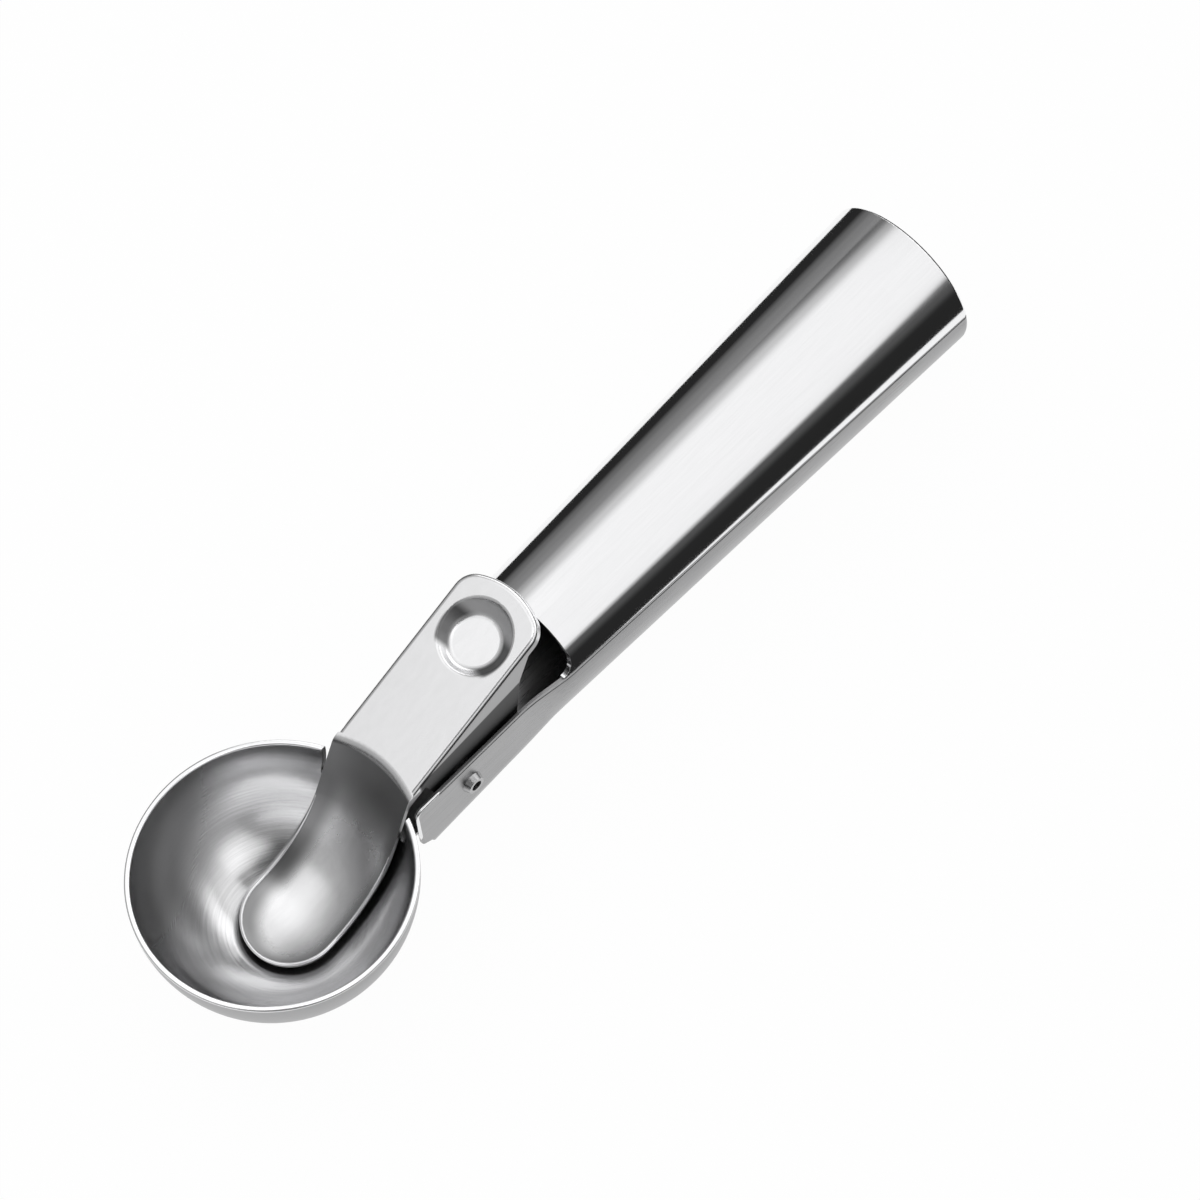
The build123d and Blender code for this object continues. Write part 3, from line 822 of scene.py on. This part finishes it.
floor_paper = bpy.data.materials.new("pale_floor")
floor_paper.use_nodes = True
tree = floor_paper.node_tree
paper = tree.nodes["Principled BSDF"]
paper.inputs["Base Color"].default_value = (FLOOR_GREY, FLOOR_GREY, FLOOR_GREY, 1.0)
paper.inputs["Roughness"].default_value = FLOOR_ROUGHNESS
glow = add_node(tree, "ShaderNodeEmission")
glow.inputs["Color"].default_value = WHITE
mixed = add_node(tree, "ShaderNodeMixShader")
link(tree, math_node(tree, "MULTIPLY", bright_rays(tree), FLOOR_GLOW), mixed.inputs[0])
link(tree, paper.outputs[0], mixed.inputs[1])
link(tree, glow.outputs[0], mixed.inputs[2])
link(tree, mixed.outputs[0], tree.nodes["Material Output"].inputs["Surface"])
sheet = bmesh.new()
on_floor = Matrix.Translation((0.0, 0.0, FLOOR_LEVEL))
bmesh.ops.create_grid(sheet, x_segments=1, y_segments=1, size=FLOOR_HALF, matrix=on_floor)
stage_piece("floor", sheet, floor_paper)
print("floor is", 2 * FLOOR_HALF, "m wide")

# %% Dark cloth round the pale patch that the scoop lies on
PATCH_LOW = Vector((-0.17, -0.055, 0.0))
PATCH_HIGH = Vector((0.15, 0.07, 0.0))
CLOTH_WIDTH = 2.4
CLOTH_GREY = 0.02

dark_cloth, glow = glow_material("dark_cloth")
glow["Color"].default_value = (CLOTH_GREY, CLOTH_GREY, CLOTH_GREY, 1.0)
patch_size = PATCH_HIGH - PATCH_LOW
patch_shape = Matrix.Diagonal((patch_size.x, patch_size.y, 1.0, 1.0))
patch_place = Matrix.Translation((PATCH_LOW + PATCH_HIGH) / 2) @ patch_shape
ring_cloth = bmesh.new()
bmesh.ops.create_grid(ring_cloth, x_segments=1, y_segments=1, size=0.5, matrix=patch_place)
patch = list(ring_cloth.faces)
wide = bmesh.ops.extrude_face_region(ring_cloth, geom=patch)["geom"]
for vert in [item for item in wide if isinstance(item, bmesh.types.BMVert)]:
    vert.co.x += math.copysign(CLOTH_WIDTH, vert.co.x)
    vert.co.y += math.copysign(CLOTH_WIDTH, vert.co.y)
lids = [item for item in wide if isinstance(item, bmesh.types.BMFace)]
lids += [face for face in patch if face.is_valid]
bmesh.ops.delete(ring_cloth, geom=lids, context="FACES")
cloth = stage_piece("cloth", ring_cloth, dark_cloth)
print("cloth has", len(cloth.data.polygons), "faces round the patch")

# %% [markdown]
# ### The dome
# The room round the scoop is dim, with a light wall at the right, a fainter one at the left, and a dark
# place overhead where the camera stands. A picture of a room could wrap the world, but the bands on the
# cover need only these few levels. So a dome has them as levels over its directions.

# %% Levels of the dome over its directions
HEIGHT_LEVELS = [(0.0, 0.05), (0.17, 0.13), (0.34, 0.19), (0.57, 0.23), (1.0, 0.26)]
NEAR_TO_FAR = (-0.4, 0.1)
NEAR_SHARE, FAR_SHARE = 0.6, 1.05
LEFT_EDGE, LEFT_FOOT, LEFT_LEVEL = (0.15, -0.1), (0.0, 0.25), 0.22
RIGHT_EDGE, RIGHT_FOOT, RIGHT_LEVEL = (0.36, 0.5), (0.1, 0.38), 1.35
STAND_WAY = Vector((-0.416, -0.374, 0.829))
STAND_EDGE, STAND_SHARE = (0.9, 0.97), 0.25

dim_room, glow = glow_material("dim_room")
tree = dim_room.node_tree
outward = vector_node(tree, "NORMALIZE", object_place(tree))
axes = split(tree, outward)
depth = slope(tree, axes["Y"], *NEAR_TO_FAR, NEAR_SHARE, FAR_SHARE)
middle = math_node(tree, "MULTIPLY", levels_ramp(tree, axes["Z"], HEIGHT_LEVELS), depth)
left_wall = all_of(tree, slope(tree, axes["X"], *LEFT_EDGE), slope(tree, axes["Z"], *LEFT_FOOT))
right_wall = all_of(tree, slope(tree, axes["X"], *RIGHT_EDGE), slope(tree, axes["Z"], *RIGHT_FOOT))
left_light = math_node(tree, "MULTIPLY", left_wall, LEFT_LEVEL)
walls = math_node(tree, "ADD", left_light, math_node(tree, "MULTIPLY", right_wall, RIGHT_LEVEL))
towards = vector_node(tree, "DOT_PRODUCT", outward, STAND_WAY, result="Value")
stand = slope(tree, towards, *STAND_EDGE, 1.0, STAND_SHARE)
room = math_node(tree, "ADD", middle, walls)
link(tree, math_node(tree, "MULTIPLY", room, stand), glow["Strength"])
print("dim_room has", len(tree.nodes), "nodes")

# %% Shape of the dome
DOME_RADIUS = 2.0

shell = bmesh.new()
bmesh.ops.create_uvsphere(shell, u_segments=48, v_segments=24, radius=DOME_RADIUS)
whole = shell.verts[:] + shell.edges[:] + shell.faces[:]
bmesh.ops.bisect_plane(
    shell, geom=whole, plane_co=(0.0, 0.0, FLOOR_LEVEL), plane_no=(0.0, 0.0, 1.0), clear_inner=True
)
dome = stage_piece("dome", shell, dim_room)
print("dome has", len(dome.data.polygons), "faces")

# %% [markdown]
# ### The light cards
# Each bright band or patch on the metal is a soft light near the scoop. Area lamps could be these lights,
# but a lamp is evenly bright, and the bands fade in their own way at each side. So a light is a card that
# glows, with levels across and along it that follow its UV map.

# %% Light card under the ceiling
CARD_HEIGHT = 0.52
CARD_CELLS = 12


def light_card(name, left, right, near, far, across, along):
    """Card of light with soft edges: its sides may slant, and levels run across and along it."""
    card = bmesh.new()
    card.loops.layers.uv.new("card")
    bmesh.ops.create_grid(card, x_segments=CARD_CELLS, y_segments=CARD_CELLS, size=0.5, calc_uvs=True)
    for vert in card.verts:
        u, v = vert.co.x + 0.5, vert.co.y + 0.5
        low, high = (side[0] + (side[1] - side[0]) * v for side in (left, right))
        vert.co = (low + (high - low) * u, near + (far - near) * v, CARD_HEIGHT)
    material, glow = glow_material(name + "_glow")
    tree = material.node_tree
    uv = split(tree, add_node(tree, "ShaderNodeUVMap").outputs["UV"])
    across_level = levels_ramp(tree, uv["X"], across)
    along_level = levels_ramp(tree, uv["Y"], along)
    link(tree, math_node(tree, "MULTIPLY", across_level, along_level), glow["Strength"])
    return stage_piece(name, card, material)


# %% The four light cards
overhead = light_card(
    "overhead", left=(-0.56, -0.56), right=(0.34, 0.34), near=-0.06, far=0.68,
    across=[
        (0.0, 0.4), (0.15, 1.05), (0.4, 1.05), (0.48, 1.2),
        (0.65, 1.2), (0.75, 1.0), (0.87, 1.0), (1.0, 0.3),
    ],
    along=[(0.0, 0.98), (0.34, 0.98), (0.57, 0.62), (0.87, 0.36), (1.0, 0.28)],
)
side_light = light_card(
    "side_light", left=(0.45, 0.0), right=(0.68, 0.34), near=-2.6, far=-0.06,
    across=[(0.0, 0.8), (0.1, 1.0), (0.8, 1.0), (1.0, 0.2)],
    along=[(0.0, 0.12), (0.35, 0.4), (0.55, 0.95), (1.0, 0.98)],
)
near_light = light_card(
    "near_light", left=(-0.5, -0.5), right=(0.3, 0.1), near=-1.8, far=-0.4,
    across=[(0.0, 0.3), (0.3, 1.0), (0.7, 1.3), (1.0, 1.3)],
    along=[(0.0, 0.3), (0.3, 1.0), (0.92, 1.0), (1.0, 0.7)],
)
top_strip = light_card(
    "top_strip", left=(-0.16, -0.16), right=(0.03, 0.0), near=-0.2, far=-0.06,
    across=[(0.0, 0.8), (0.2, 2.2), (0.8, 2.2), (1.0, 1.2)],
    along=[(0.0, 0.6), (0.2, 1.0), (1.0, 1.0)],
)
studio_pieces = (cloth, dome, overhead, side_light, near_light, top_strip)
for piece in studio_pieces:
    only_reflections(piece)
print("in reflections only:", [piece.name for piece in studio_pieces])

# %% [markdown]
# ### The lamp
# The cards and the dome stand in reflections only, so the paper needs a light of its own, which gives
# the scoop its soft shadow. A sun would draw a hard edge, and a wide square lamp close above doesn't. It
# is kept out of reflections, so that the bands on the metal stay those of the cards.

# %% Lamp that lights the paper
LAMP_PLACE = (-0.05, 0.15, 0.6)
LAMP_SIDE = 0.8
LAMP_WATTS = 1.6

lamp_data = bpy.data.lights.new("softbox", "AREA")
lamp_data.shape = "SQUARE"
lamp_data.size = LAMP_SIDE
lamp_data.energy = LAMP_WATTS
softbox = bpy.data.objects.new("softbox", lamp_data)
softbox.location = LAMP_PLACE
softbox.visible_camera = False
softbox.visible_glossy = False
scene.collection.objects.link(softbox)
print("softbox gives", LAMP_WATTS, "W over", LAMP_SIDE, "m")
